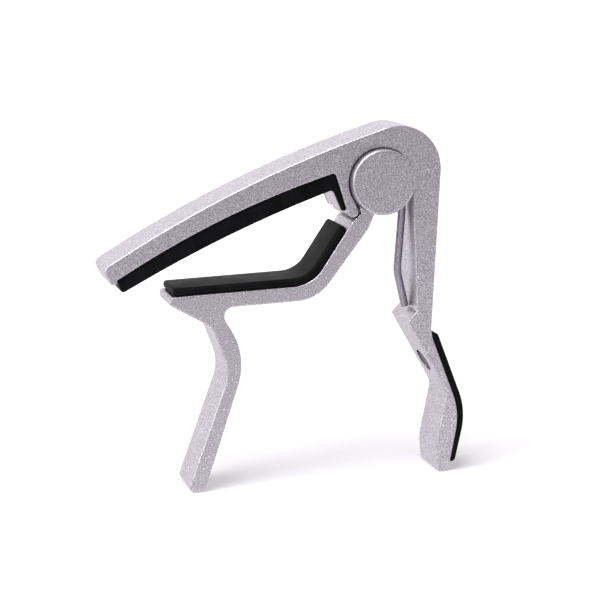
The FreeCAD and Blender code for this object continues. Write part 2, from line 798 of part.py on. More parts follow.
def make_rivet():
    """Round-headed rivet that holds the thumb grip to the rear handle."""
    body = new_body("grip_rivet")
    seat, head = cell("counterbore_depth") - cell("face_clearance"), cell("rivet_head_height")
    shank_end = PADDLE_THICKNESS + cell("rivet_grip_depth")
    turned(body, "PartDesign::Revolution", "rivet", [
        (seat - head, FLOOR), (shank_end, FLOOR),
        (shank_end, cell("rivet_shank_radius")), (seat, cell("rivet_shank_radius")),
        (seat, cell("rivet_head_radius")), (seat - head / 2, cell("rivet_head_radius")),
        (seat - head, cell("rivet_head_radius") / 2),
    ])
    return body


# ---------------------------------------------------------------------------
# Torsion spring: coil round the sleeve, long leg to the ledge, hook in the lower arm
# ---------------------------------------------------------------------------
def bent_wire(points, radii):
    """Edges of a path of straight runs joined by tangent arcs of the given radii."""
    edges, place = [], points[0]
    for before, corner, after, radius in zip(points, points[1:], points[2:], radii):
        to_before, to_after = (before - corner).normalize(), (after - corner).normalize()
        half = to_before.getAngle(to_after) / 2
        cut = radius / math.tan(half)
        middle = (to_before + to_after).normalize()
        centre = corner + middle * (radius / math.sin(half))
        enter, leave = corner + to_before * cut, corner + to_after * cut
        edges.append(Part.LineSegment(place, enter).toShape())
        edges.append(Part.Arc(enter, centre - middle * radius, leave).toShape())
        place = leave
    edges.append(Part.LineSegment(place, points[-1]).toShape())
    return edges


def make_spring():
    """Wire wound with its leg towards the back, then mirrored to bring the leg to the front."""
    pivot = Vector(PIVOT_X.value, 0, PIVOT_Z.value)
    radius, wire = COIL_RADIUS.value, sheet.get("wire_diameter")
    leg_y = LEG_SIDE.value

    def at(out_, drop_, y):
        return pivot + Vector(out_, y, -drop_)

    neck = at(sheet.get("leg_neck_out"), sheet.get("leg_neck_drop"), leg_y)
    knee = Vector(pivot.x + sheet.get("leg_knee_out"), sheet.get("leg_knee_side"),
                  sheet.get("leg_knee_height"))
    foot = Vector(pivot.x + sheet.get("leg_foot_out"), 0, sheet.get("leg_foot_height"))
    away = math.hypot(neck.x - pivot.x, neck.z - pivot.z)
    first = math.atan2(neck.z - pivot.z, neck.x - pivot.x) + math.acos(radius / away)
    last = math.radians(sheet.get("hook_angle") + 360 * sheet.get("coil_whole_turns"))

    def on_coil(angle, y):
        return pivot + Vector(radius * math.cos(angle), y, radius * math.sin(angle))

    start, end = on_coil(first, leg_y), on_coil(last, -leg_y)
    leg = bent_wire([foot, knee, neck, start],
                    [sheet.get("leg_knee_bend"), sheet.get("leg_neck_bend")])
    sweep = last - first
    helix = Part.makeHelix(2 * leg_y * 2 * math.pi / sweep, 2 * leg_y, radius)
    helix.Placement = FreeCAD.Placement(
        pivot + Vector(0, leg_y, 0),
        FreeCAD.Rotation(Vector(0, 1, 0), -math.degrees(first))
        * FreeCAD.Rotation(Vector(1, 0, 0), 90))
    outward = Vector(math.cos(last), 0, math.sin(last))
    onward = Vector(-math.sin(last), 0, math.cos(last))
    lead = sheet.get("hook_lead")
    corner = end + onward * lead
    hook_tip = corner + outward * (lead + sheet.get("hook_length"))
    hook = bent_wire([end, corner, hook_tip], [sheet.get("hook_bend")])
    path = Part.Wire(Part.__sortEdges__(leg + helix.Edges + hook)).mirror(Vector(), Vector(0, 1, 0))
    profile = Part.Wire(Part.makeCircle(
        wire / 2, foot, Vector(knee.x - foot.x, foot.y - knee.y, knee.z - foot.z)))
    feature = doc.addObject("Part::Feature", "torsion_spring")
    feature.Label = "torsion_spring"
    feature.Shape = path.makePipeShell([profile], True, True, 0)
    return feature


# ---------------------------------------------------------------------------
# The whole capo
# ---------------------------------------------------------------------------
def make_all():
    washer = cell("washer_thickness")
    washer_start = POCKET_FLOOR + cell("face_clearance")
    grip = make_thumb_grip()
    turned(grip, "PartDesign::Groove", "rivet_socket", [
        (PADDLE_THICKNESS - cell("rivet_grip_depth"), FLOOR),
        (PADDLE_THICKNESS + cell("rivet_grip_depth") + cell("rivet_clearance"), FLOOR),
        (PADDLE_THICKNESS + cell("rivet_grip_depth") + cell("rivet_clearance"),
         cell("rivet_shank_radius") + cell("rivet_clearance")),
        (PADDLE_THICKNESS - cell("rivet_grip_depth"),
         cell("rivet_shank_radius") + cell("rivet_clearance")),
    ])
    return [
        make_frame(), make_lower_arm(), make_string_pad(), make_neck_pad(), grip,
        make_rivet(), make_pivot_pin(),
        make_ring("spring_sleeve", PIN_BORE, SLEEVE_OUTER, (SLOT_HALF - cell("face_clearance")) * 2),
        make_ring("front_washer", PIN_BORE, cell("washer_radius"), washer, washer_start),
        make_ring("back_washer", PIN_BORE, cell("washer_radius"), washer, -washer_start, True),
        make_spring(),
    ]


def check_and_write(parts):
    doc.recompute()
    for item in doc.Objects:
        if {"Invalid", "Error"} & set(item.State):
            raise RuntimeError(f"{item.Label} failed: {item.State}")
    for part in parts:
        if part.Shape.isNull() or not part.Shape.isValid():
            raise RuntimeError(f"{part.Label} has no valid shape")
    os.makedirs("parts", exist_ok=True)
    for part in parts:
        part.Shape.exportStep(f"parts/{part.Label}.step")
        box = part.Shape.BoundBox
        print(f"{part.Label}: {len(part.Shape.Solids)} solid, {part.Shape.Volume:.1f} mm3, "
              f"X {box.XMin:.2f} {box.XMax:.2f}  Y {box.YMin:.2f} {box.YMax:.2f}  "
              f"Z {box.ZMin:.2f} {box.ZMax:.2f}")


check_and_write(make_all())
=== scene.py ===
"""Looks of a trigger guitar capo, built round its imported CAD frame.

Everything is in metres in the frame's own axes: X from the jaw tip to the rear handle,
Y along the hinge pin to the back, Z up.  Sizes written in millimetres carry the factor MM.
"""
import json
import logging
import math
from dataclasses import dataclass
from enum import Enum
from typing import Any, ClassVar, Sequence

import bmesh
import bpy
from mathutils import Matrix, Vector


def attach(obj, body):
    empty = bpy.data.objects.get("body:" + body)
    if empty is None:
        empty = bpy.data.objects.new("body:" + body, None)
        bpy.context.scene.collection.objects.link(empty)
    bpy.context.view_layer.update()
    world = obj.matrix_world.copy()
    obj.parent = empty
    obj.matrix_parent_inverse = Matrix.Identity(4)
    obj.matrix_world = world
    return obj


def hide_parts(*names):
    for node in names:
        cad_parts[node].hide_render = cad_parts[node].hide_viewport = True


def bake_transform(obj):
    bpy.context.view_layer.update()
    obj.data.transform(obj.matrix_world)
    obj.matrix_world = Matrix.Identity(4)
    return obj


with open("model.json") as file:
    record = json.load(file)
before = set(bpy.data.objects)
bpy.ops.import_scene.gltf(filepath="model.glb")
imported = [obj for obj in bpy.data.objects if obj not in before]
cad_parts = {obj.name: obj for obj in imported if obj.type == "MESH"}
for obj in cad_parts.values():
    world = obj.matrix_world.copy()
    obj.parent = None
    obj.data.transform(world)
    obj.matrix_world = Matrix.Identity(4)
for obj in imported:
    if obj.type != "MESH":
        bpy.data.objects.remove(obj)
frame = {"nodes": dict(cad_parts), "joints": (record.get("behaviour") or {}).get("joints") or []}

LOG = logging.getLogger("capo")
MM = 0.001
MERGE_DISTANCE = 0.001 * MM
ROUNDED_ABOVE_DEG = 35.0
SHARP_ABOVE_DEG = 32.0
WHITE = "FFFFFF"
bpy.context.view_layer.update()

Point = tuple[float, float]
Corner = tuple[float, float, float]
Span = tuple[float, float]


# ---------------------------------------------------------------------------
# Colours, nodes and meshes
# ---------------------------------------------------------------------------
def linear(hex_colour: str) -> tuple[float, float, float, float]:
    """Turns an sRGB hex colour into a linear one.

    Args:
        hex_colour: Six hex digits, such as "B4AFB8".

    Returns:
        Red, green, blue and an alpha of 1.
    """
    parts = [int(hex_colour[i:i + 2], 16) / 255 for i in (0, 2, 4)]
    red, green, blue = (
        p / 12.92 if p <= 0.04045 else ((p + 0.055) / 1.055) ** 2.4 for p in parts)
    return red, green, blue, 1.0


def add_node(tree: bpy.types.NodeTree, kind: str, inputs: dict[Any, Any] | None = None,
             **settings: Any) -> bpy.types.Node:
    """Adds a node, sets it and links it.

    Args:
        tree: The tree that gets the node.
        kind: The node's type name.
        inputs: Socket name or number to a constant, or to an output socket to link.
        **settings: Properties of the node.

    Returns:
        The new node.
    """
    node = tree.nodes.new(kind)
    for name, value in settings.items():
        setattr(node, name, value)
    for key, value in (inputs or {}).items():
        socket = node.inputs[key]
        if isinstance(value, bpy.types.NodeSocket):
            tree.links.new(value, socket)
        else:
            socket.default_value = value
    return node


def noise(tree: bpy.types.NodeTree, place: bpy.types.NodeSocket, size: float, detail: float,
          roughness: float) -> bpy.types.NodeSocket:
    """Adds a noise pattern.

    Args:
        tree: The tree that gets the node.
        place: The coordinates that the pattern follows.
        size: Size of its largest spots in metres.
        detail: How many finer layers it has.
        roughness: How strong the finer layers are.

    Returns:
        The pattern's value.
    """
    return add_node(tree, "ShaderNodeTexNoise", {
        "Vector": place, "Scale": 1 / size, "Detail": detail,
        "Roughness": roughness}).outputs["Fac"]


def two_tone(tree: bpy.types.NodeTree, pattern: bpy.types.NodeSocket, span: Span,
             low_colour: str, high_colour: str) -> bpy.types.NodeSocket:
    """Adds a ramp from one colour to another.

    Args:
        tree: The tree that gets the node.
        pattern: The value that picks the colour.
        span: The values at which the ramp starts and ends.
        low_colour: Hex colour below the span.
        high_colour: Hex colour above it.

    Returns:
        The ramp's colour.
    """
    ramp = add_node(tree, "ShaderNodeValToRGB", {"Fac": pattern})
    for stop, place, colour in zip(ramp.color_ramp.elements, span, (low_colour, high_colour)):
        stop.position, stop.color = place, linear(colour)
    return ramp.outputs["Color"]


def ranged(tree: bpy.types.NodeTree, value: bpy.types.NodeSocket, given: Span, wanted: Span,
           **settings: Any) -> bpy.types.NodeSocket:
    """Adds a node that maps one range of values to another.

    Args:
        tree: The tree that gets the node.
        value: The value to map.
        given: Lowest and highest value that comes in.
        wanted: What they become.
        **settings: Properties of the node.

    Returns:
        The mapped value.
    """
    return add_node(tree, "ShaderNodeMapRange", {
        "Value": value, "From Min": given[0], "From Max": given[1],
        "To Min": wanted[0], "To Max": wanted[1]}, **settings).outputs["Result"]


def rounded_outline(corners: Sequence[Corner], step_deg: float = 5.0) -> list[Point]:
    """Points of a closed outline whose corners are rounded by tangent arcs.

    Args:
        corners: X, Z and radius of each corner, in order, in metres.
        step_deg: Largest turn between two points of an arc.

    Returns:
        The outline's points, in the corners' order.
    """
    points: list[Point] = []
    count = len(corners)
    for i, (x, z, radius) in enumerate(corners):
        corner = Vector((x, z))
        if radius <= 0:
            points.append((x, z))
            continue
        before = (Vector(corners[i - 1][:2]) - corner).normalized()
        after = (Vector(corners[(i + 1) % count][:2]) - corner).normalized()
        half = before.angle(after) / 2
        enter = corner + before * radius / math.tan(half)
        centre = corner + (before + after).normalized() * radius / math.sin(half)
        turn = math.pi - 2 * half
        if before.cross(after) > 0:
            turn = -turn
        steps = max(2, math.ceil(abs(math.degrees(turn)) / step_deg))
        arm = enter - centre
        for k in range(steps + 1):
            angle = turn * k / steps
            points.append((centre.x + arm.x * math.cos(angle) - arm.y * math.sin(angle),
                           centre.y + arm.x * math.sin(angle) + arm.y * math.cos(angle)))
    return points


def placed(name: str, data: bpy.types.ID | None) -> bpy.types.Object:
    """Makes an object and links it to the scene.

    Args:
        name: Name of the new object.
        data: Its mesh, lamp or camera.

    Returns:
        The new object.
    """
    made = bpy.data.objects.new(name, data)
    bpy.context.scene.collection.objects.link(made)
    return made


def prism(name: str, outline: Sequence[Point], low_y: float, high_y: float) -> bpy.types.Object:
    """Makes a solid from an outline in the XZ plane.

    Args:
        name: Name of the new object.
        outline: Points of the closed outline.
        low_y: Y of the front face.
        high_y: Y of the back face.

    Returns:
        The new object, linked to the scene.
    """
    mesh = bpy.data.meshes.new(name)
    shape = bmesh.new()
    front = [shape.verts.new((x, low_y, z)) for x, z in outline]
    back = [shape.verts.new((x, high_y, z)) for x, z in outline]
    shape.faces.new(front)
    shape.faces.new(back[::-1])
    for i in range(len(outline)):
        shape.faces.new((front[i - 1], front[i], back[i], back[i - 1]))
    bmesh.ops.recalc_face_normals(shape, faces=shape.faces)
    shape.to_mesh(mesh)
    shape.free()
    return placed(name, mesh)


def baked(piece: bpy.types.Object) -> bpy.types.Object:
    """Turns a piece's modifiers into plain mesh.

    Args:
        piece: The object whose modifiers are applied and removed.

    Returns:
        The same object.
    """
    graph = bpy.context.evaluated_depsgraph_get()
    graph.update()
    mesh = bpy.data.meshes.new_from_object(piece.evaluated_get(graph))
    piece.modifiers.clear()
    piece.data = mesh
    mesh.name = piece.name
    return piece


def soften(piece: bpy.types.Object, width: float, segments: int = 4) -> bpy.types.Object:
    """Rounds a piece's sharp edges and shades it smooth.

    Args:
        piece: The object to round.
        width: Radius of the rounding in metres.
        segments: Number of facets across the rounding.

    Returns:
        The same object, with plain mesh.
    """
    bevel = piece.modifiers.new("rounding", "BEVEL")
    bevel.width = width
    bevel.segments = segments
    bevel.limit_method = "ANGLE"
    bevel.angle_limit = math.radians(ROUNDED_ABOVE_DEG)
    baked(piece)
    piece.data.polygons.foreach_set("use_smooth", [True] * len(piece.data.polygons))
    piece.data.set_sharp_from_angle(angle=math.radians(SHARP_ABOVE_DEG))
    return piece


def carved(piece: bpy.types.Object, cutter: bpy.types.Object) -> bpy.types.Object:
    """Cuts one solid out of another and throws the cutter away.

    Args:
        piece: The solid that is cut.
        cutter: The solid that is taken out of it.

    Returns:
        The cut piece, with plain mesh.
    """
    cut = piece.modifiers.new("cut", "BOOLEAN")
    cut.operation, cut.solver, cut.object = "DIFFERENCE", "EXACT", cutter
    baked(piece)
    bpy.data.objects.remove(cutter)
    return piece


# ---------------------------------------------------------------------------
# Finishes
# ---------------------------------------------------------------------------
@dataclass(frozen=True)
class Finish:
    """A material: its name and the shader values that every finish has."""

    name: str
    colour: str
    roughness: float
    metallic: float = 0.0
    specular: float = 0.5
    usual_noise: ClassVar[Span] = (0.3, 0.7)

    def make(self) -> bpy.types.Material:
        """Makes the material with its shader, and lets the finish lay its surface on it.

        Returns:
            The finished material.
        """
        material = bpy.data.materials.new(self.name)
        material.use_nodes = True
        tree = material.node_tree
        tree.nodes.clear()
        place = add_node(tree, "ShaderNodeTexCoord").outputs["Object"]
        shader = add_node(tree, "ShaderNodeBsdfPrincipled", {
            "Base Color": linear(self.colour),
            "Roughness": self.roughness,
            "Metallic": self.metallic,
            "Specular IOR Level": self.specular,
        })
        add_node(tree, "ShaderNodeOutputMaterial", {"Surface": shader.outputs["BSDF"]})
        for name, socket in self.surface(tree, place).items():
            tree.links.new(socket, shader.inputs[name])
        return material

    def surface(self, tree: bpy.types.NodeTree,
                place: bpy.types.NodeSocket) -> dict[str, bpy.types.NodeSocket]:
        """Lays the finish's patterns.

        Args:
            tree: The material's node tree.
            place: The piece's own coordinates.

        Returns:
            Name of each shader socket that varies over the surface, and what drives it.
        """
        return {}

    def dulled(self, tree: bpy.types.NodeTree, pattern: bpy.types.NodeSocket, less: float,
               more: float) -> bpy.types.NodeSocket:
        """Makes the roughness follow a pattern.

        Args:
            tree: The material's node tree.
            pattern: The pattern that it follows.
            less: How far it falls below the finish's own roughness.
            more: How far it rises above it.

        Returns:
            The varying roughness.
        """
        return ranged(tree, pattern, self.usual_noise,
                      (self.roughness - less, self.roughness + more))


def bumped(tree: bpy.types.NodeTree, pattern: bpy.types.NodeSocket, strength: float,
           depth: float) -> bpy.types.NodeSocket:
    """Makes the surface's normal follow a pattern of fine bumps.

    Args:
        tree: The material's node tree.
        pattern: The bumps' height.
        strength: How much of the bump shows.
        depth: Height of the bumps in metres.

    Returns:
        The bumpy normal.
    """
    return add_node(tree, "ShaderNodeBump", {
        "Strength": strength, "Distance": depth, "Height": pattern}).outputs["Normal"]


@dataclass(frozen=True)
class BlastedCasting(Finish):
    """Die-cast alloy, blasted with fine grit and plated satin nickel.

    The grit leaves a dense sparkle of tiny facets, so the reflection is wide and grainy, with a
    faint violet cast. The sparkle's glints are painted: rare near-white flecks in the base colour.
    """

    grit: float = 0.25 * MM
    grit_depth: float = 0.04 * MM
    grit_strength: float = 0.8
    grit_tones: Span = (0.34, 0.58)
    cloud: float = 9.0 * MM
    cloud_dulling: float = 0.04
    painted_glint: float = 0.25 * MM
    painted_glint_rarity: float = 0.95
    painted_glint_cover: float = 0.8
    painted_glint_colour: str = "FAF8FB"
    shade_colour: str = "716B76"

    def surface(self, tree: bpy.types.NodeTree,
                place: bpy.types.NodeSocket) -> dict[str, bpy.types.NodeSocket]:
        """Lays the grit, the painted glints (rare near-white flecks in the colour) and the
        clouding.

        Args:
            tree: The material's node tree.
            place: The piece's own coordinates.

        Returns:
            What drives each shader socket that varies.
        """
        grain = noise(tree, place, self.grit, 3.0, 0.7)
        clouds = noise(tree, place, self.cloud, 2.0, 0.5)
        # painted glints: rare cells of this pattern turn the base colour near-white, standing in
        # for the grit facets' sparkle
        painted_glint_cells = add_node(tree, "ShaderNodeTexVoronoi", {
            "Vector": place, "Scale": 1 / self.painted_glint, "Randomness": 1.0})
        tone = two_tone(tree, grain, self.grit_tones, self.shade_colour, self.colour)
        chance = add_node(tree, "ShaderNodeSeparateColor", {"Color": painted_glint_cells.outputs["Color"]})
        painted_glint = ranged(tree, chance.outputs["Red"], (self.painted_glint_rarity, 1.0),
                       (0.0, self.painted_glint_cover))
        with_painted_glints = add_node(tree, "ShaderNodeMix", {
            "Factor": painted_glint, "A": tone, "B": linear(self.painted_glint_colour)}, data_type="RGBA")
        return {"Base Color": with_painted_glints.outputs["Result"],
                "Roughness": self.dulled(tree, clouds, self.cloud_dulling, self.cloud_dulling),
                "Normal": bumped(tree, grain, self.grit_strength, self.grit_depth)}


@dataclass(frozen=True)
class MouldedRubber(Finish):
    """Black moulded rubber with the dull, faintly mottled skin that a matt mould leaves."""

    pores: float = 0.22 * MM
    pore_depth: float = 0.02 * MM
    pore_strength: float = 0.25
    mottle: float = 4.0 * MM
    worn_tones: Span = (0.35, 0.75)
    worn_colour: str = "151417"

    def surface(self, tree: bpy.types.NodeTree,
                place: bpy.types.NodeSocket) -> dict[str, bpy.types.NodeSocket]:
        """Lays the mould's pores and the mottled wear.

        Args:
            tree: The material's node tree.
            place: The piece's own coordinates.

        Returns:
            What drives each shader socket that varies.
        """
        pores = noise(tree, place, self.pores, 2.0, 0.6)
        mottle = noise(tree, place, self.mottle, 4.0, 0.6)
        return {"Base Color": two_tone(tree, mottle, self.worn_tones, self.colour,
                                       self.worn_colour),
                "Roughness": self.dulled(tree, mottle, 0.05, 0.07),
                "Normal": bumped(tree, pores, self.pore_strength, self.pore_depth)}


@dataclass(frozen=True)
class DrawnSteel(Finish):
    """Plated spring wire or turned steel, smooth with fine marks from the die or the lathe."""

    marks: float = 0.12 * MM
    mark_depth: float = 0.01 * MM
    mark_strength: float = 0.10
    mark_tones: Span = (0.30, 0.60)
    stretch: float = 12.0
    dark_colour: str = "77717B"

    def surface(self, tree: bpy.types.NodeTree,
                place: bpy.types.NodeSocket) -> dict[str, bpy.types.NodeSocket]:
        """Lays the marks, drawn out along the wire.

        Args:
            tree: The material's node tree.
            place: The piece's own coordinates.

        Returns:
            What drives each shader socket that varies.
        """
        along = add_node(tree, "ShaderNodeMapping", {
            "Vector": place, "Scale": (1.0, 1.0, 1 / self.stretch)})
        marks = noise(tree, along.outputs["Vector"], self.marks, 2.0, 0.5)
        return {"Base Color": two_tone(tree, marks, self.mark_tones, self.dark_colour,
                                       self.colour),
                "Roughness": self.dulled(tree, marks, 0.04, 0.06),
                "Normal": bumped(tree, marks, self.mark_strength, self.mark_depth)}


@dataclass(frozen=True)
class MouldedNylon(Finish):
    """Natural nylon of the bearing parts, cream, waxy and slightly cloudy."""

    cloud: float = 1.5 * MM
    cloudy_colour: str = "CFCBBE"

    def surface(self, tree: bpy.types.NodeTree,
                place: bpy.types.NodeSocket) -> dict[str, bpy.types.NodeSocket]:
        """Lays the clouding.

        Args:
            tree: The material's node tree.
            place: The piece's own coordinates.

        Returns:
            What drives each shader socket that varies.
        """
        clouds = noise(tree, place, self.cloud, 2.0, 0.5)
        return {"Base Color": two_tone(tree, clouds, self.usual_noise, self.cloudy_colour,
                                       self.colour)}


CASTING = BlastedCasting("satin_nickel_casting", colour="D4CDD7", roughness=0.42, metallic=1.0)
RUBBER = MouldedRubber("moulded_black_rubber", colour="09080A", roughness=0.52, specular=0.06)
WIRE = DrawnSteel("plated_spring_wire", colour="AAA0AF", roughness=0.28, metallic=1.0)
TURNED = DrawnSteel("turned_pin_steel", colour="A9A5AB", roughness=0.33, metallic=1.0, stretch=1.0)
BLACKENED = DrawnSteel("blackened_rivet_steel", colour="26252A", roughness=0.38, metallic=1.0,
                       stretch=1.0, dark_colour="121113")
NYLON = MouldedNylon("moulded_nylon", colour="E6E2D4", roughness=0.45)


class MadeFinishes:
    """Makes each finish once and hands it out again."""

    def __init__(self) -> None:
        """Starts with nothing made."""
        self._made: dict[str, bpy.types.Material] = {}

    def of(self, finish: Finish) -> bpy.types.Material:
        """The material of a finish, made the first time it is asked for.

        Args:
            finish: The finish wanted.

        Returns:
            Its material.
        """
        if finish.name not in self._made:
            self._made[finish.name] = finish.make()
        return self._made[finish.name]

    def dress(self, piece: bpy.types.Object, finish: Finish) -> None:
        """Gives a piece one finish all over.

        Args:
            piece: The object to dress.
            finish: The finish it gets.
        """
        material = self.of(finish)
        if not piece.material_slots:
            piece.data.materials.append(material)
        for slot in piece.material_slots:
            slot.material = material


# ---------------------------------------------------------------------------
# The capo's places
# ---------------------------------------------------------------------------
class Body(Enum):
    """The CAD bodies that pieces ride on."""

    FRAME = "frame"
    LOWER_ARM = "lower_arm"


@dataclass(frozen=True)
class Pivot:
    """The hinge axis, from which the castings' outlines are laid out."""

    x: float
    z: float

    @classmethod
    def of_frame(cls) -> "Pivot":
        """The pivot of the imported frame's only joint."""
        x, _, z = frame["joints"][0]["pos_m"]
        return cls(x, z)

    def at(self, reach: float, drop: float) -> Point:
        """A point this far towards the jaw tip and this far below the axis, in millimetres."""
        return self.x - reach * MM, self.z - drop * MM

    def corner(self, reach: float, drop: float, radius: float = 0.0) -> Corner:
        """The same point as an outline's corner with its radius, in millimetres."""
        return (*self.at(reach, drop), radius * MM)


# ---------------------------------------------------------------------------
# Strips of constant section that follow a bent path
# ---------------------------------------------------------------------------
@dataclass
class SweptStrip:
    """A rubber strip of one rounded section swept along a bent path by Geometry Nodes."""

    name: str
    path: list[Point]
    width: float
    thickness: float
    corner: float
    end_rounding: float
    TREE: ClassVar[str] = "strip_along_path"

    @classmethod
    def tree(cls) -> bpy.types.NodeTree:
        """The sweep's node tree, made once.

        Returns:
            The Geometry Nodes tree with inputs for its section and material.
        """
        if cls.TREE in bpy.data.node_groups:
            return bpy.data.node_groups[cls.TREE]
        tree = bpy.data.node_groups.new(cls.TREE, "GeometryNodeTree")
        face = tree.interface
        face.new_socket("Path", in_out="INPUT", socket_type="NodeSocketGeometry")
        for label in ("Width", "Thickness", "Corner"):
            face.new_socket(label, in_out="INPUT", socket_type="NodeSocketFloat")
        face.new_socket("Material", in_out="INPUT", socket_type="NodeSocketMaterial")
        face.new_socket("Strip", in_out="OUTPUT", socket_type="NodeSocketGeometry")
        given = add_node(tree, "NodeGroupInput").outputs
        line = add_node(tree, "GeometryNodeMeshToCurve", {"Mesh": given["Path"]})
        upright = add_node(tree, "GeometryNodeSetCurveNormal", {
            "Curve": line.outputs["Curve"]}, mode="MINIMUM_TWIST")
        section = add_node(tree, "GeometryNodeCurvePrimitiveQuadrilateral", {
            "Width": given["Width"], "Height": given["Thickness"]}, mode="RECTANGLE")
        across = add_node(tree, "ShaderNodeSeparateXYZ", {
            "Vector": add_node(tree, "GeometryNodeInputPosition").outputs["Position"]})
        exposed = add_node(tree, "ShaderNodeMath", {
            0: across.outputs["Y"], 1: 0.0}, operation="LESS_THAN")
        rounding = add_node(tree, "ShaderNodeMath", {
            0: exposed.outputs[0], 1: given["Corner"]}, operation="MULTIPLY")
        eased = add_node(tree, "GeometryNodeFilletCurve", {
            "Curve": section.outputs["Curve"], "Radius": rounding.outputs[0],
            "Limit Radius": True}, mode="POLY")
        eased.inputs["Count"].default_value = 6
        skin = add_node(tree, "GeometryNodeCurveToMesh", {
            "Curve": upright.outputs["Curve"], "Profile Curve": eased.outputs["Curve"],
            "Fill Caps": True})
        whole = add_node(tree, "GeometryNodeRealizeInstances", {"Geometry": skin.outputs["Mesh"]})
        dressed = add_node(tree, "GeometryNodeSetMaterial", {
            "Geometry": whole.outputs["Geometry"], "Material": given["Material"]})
        add_node(tree, "NodeGroupOutput", {"Strip": dressed.outputs["Geometry"]})
        return tree

    def build(self, material: bpy.types.Material) -> bpy.types.Object:
        """Sweeps the strip and rounds its ends.

        Args:
            material: The material of the whole strip.

        Returns:
            The strip as a plain mesh object.
        """
        mesh = bpy.data.meshes.new(self.name)
        mesh.from_pydata([(x, 0.0, z) for x, z in self.path],
                         [(i, i + 1) for i in range(len(self.path) - 1)], [])
        piece = placed(self.name, mesh)
        sweep = piece.modifiers.new("sweep", "NODES")
        sweep.node_group = self.tree()
        sizes = {"Width": self.width, "Thickness": self.thickness, "Corner": self.corner,
                 "Material": material}
        for item in sweep.node_group.interface.items_tree:
            if item.item_type == "SOCKET" and item.in_out == "INPUT" and item.name in sizes:
                sweep[item.identifier] = sizes[item.name]
        baked(piece)
        facing_out(piece)
        return soften(piece, self.end_rounding)


def facing_out(piece: bpy.types.Object) -> None:
    """Merges a mesh's doubles and turns its faces outwards.

    Args:
        piece: The object whose mesh is put right.
    """
    shape = bmesh.new()
    shape.from_mesh(piece.data)
    bmesh.ops.remove_doubles(shape, verts=shape.verts, dist=MERGE_DISTANCE)
    bmesh.ops.recalc_face_normals(shape, faces=shape.faces)
    shape.to_mesh(piece.data)
    shape.free()


def bent_path(start: Point, corner: Corner, end: Point) -> list[Point]:
    """A path of two straight runs joined by an arc.

    Args:
        start: First point.
        corner: The corner between the runs, with the arc's radius.
        end: Last point.

    Returns:
        The path's points.
    """
    return rounded_outline([(*start, 0.0), corner, (*end, 0.0)])


def shifted(a: Point, b: Point, along: float, side: float) -> Point:
    """A point beside the line from a to b.

    Args:
        a: Where the line starts.
        b: The point it heads for.
        along: How far to go from a towards b.
        side: How far to go to the left of the line.

    Returns:
        The shifted point.
    """
    run = (Vector(b) - Vector(a)).normalized()
    place = Vector(a) + run * along + Vector((-run.y, run.x)) * side
    return place.x, place.y


def beside_corner(a: Point, b: Point, c: Point, side: float) -> Point:
    """The corner b of the path a, b, c, moved to the path that runs beside it.

    Args:
        a: Point before the corner.
        b: The corner.
        c: Point after the corner.
        side: How far the other path runs to the left of this one.

    Returns:
        The other path's corner.
    """
    first = (Vector(b) - Vector(a)).normalized()
    second = (Vector(c) - Vector(b)).normalized()
    share = side / (first.dot(second) + 1)
    turned = Vector((-(first.y + second.y), first.x + second.x))
    place = Vector(b) + turned * share
    return place.x, place.y


# ---------------------------------------------------------------------------
# Sub-assemblies
# ---------------------------------------------------------------------------
@dataclass
class UpperJaw:
    """The frame casting with the string pad under its jaw."""

    pivot: Pivot
    finishes: MadeFinishes
    pad_depth: float = 11.8 * MM
    pad_rounding: float = 0.35 * MM
    rib_room: float = 9.7 * MM

    def pad_outline(self) -> list[Point]:
        """Outline of the string pad, its tongue included."""
        at = self.pivot.corner
        return rounded_outline([
            at(63.05, 20.3),
            at(38.9, 6.15, 210.0),
            at(11.35, -2.35, 0.9),
            at(8.52, 6.65),
            at(9.5, 6.65, 0.45),
            at(11.7, 1.6, 0.9),
            at(37.85, 10.57, 305.0),
            at(62.2, 23.45, 0.8),
        ], step_deg=1.2)

    def room_outline(self) -> list[Point]:
        """Outline of the room that the tongue leaves for the claw's rib."""
        at = self.pivot.corner
        return rounded_outline([at(7.4, 2.2), at(12.2, 2.2), at(12.2, 8.3), at(7.4, 8.3)])

    def string_pad(self) -> bpy.types.Object:
        """Builds the string pad.

        Returns:
            The pad, in place of its CAD node.
        """
        half = self.pad_depth / 2
        pad = prism("string_pad_rubber", self.pad_outline(), -half, half)
        soften(pad, self.pad_rounding)
        room = self.rib_room / 2
        carved(pad, prism("rib_room", self.room_outline(), -room, room))
        self.finishes.dress(pad, RUBBER)
        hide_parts("string_pad")
        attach(pad, Body.FRAME.value)
        return pad

    def build(self) -> list[bpy.types.Object]:
        """Dresses the casting and builds the pad.

        Returns:
            The pieces made or dressed.
        """
        casting = frame["nodes"]["frame"]
        self.finishes.dress(casting, CASTING)
        return [casting, self.string_pad()]


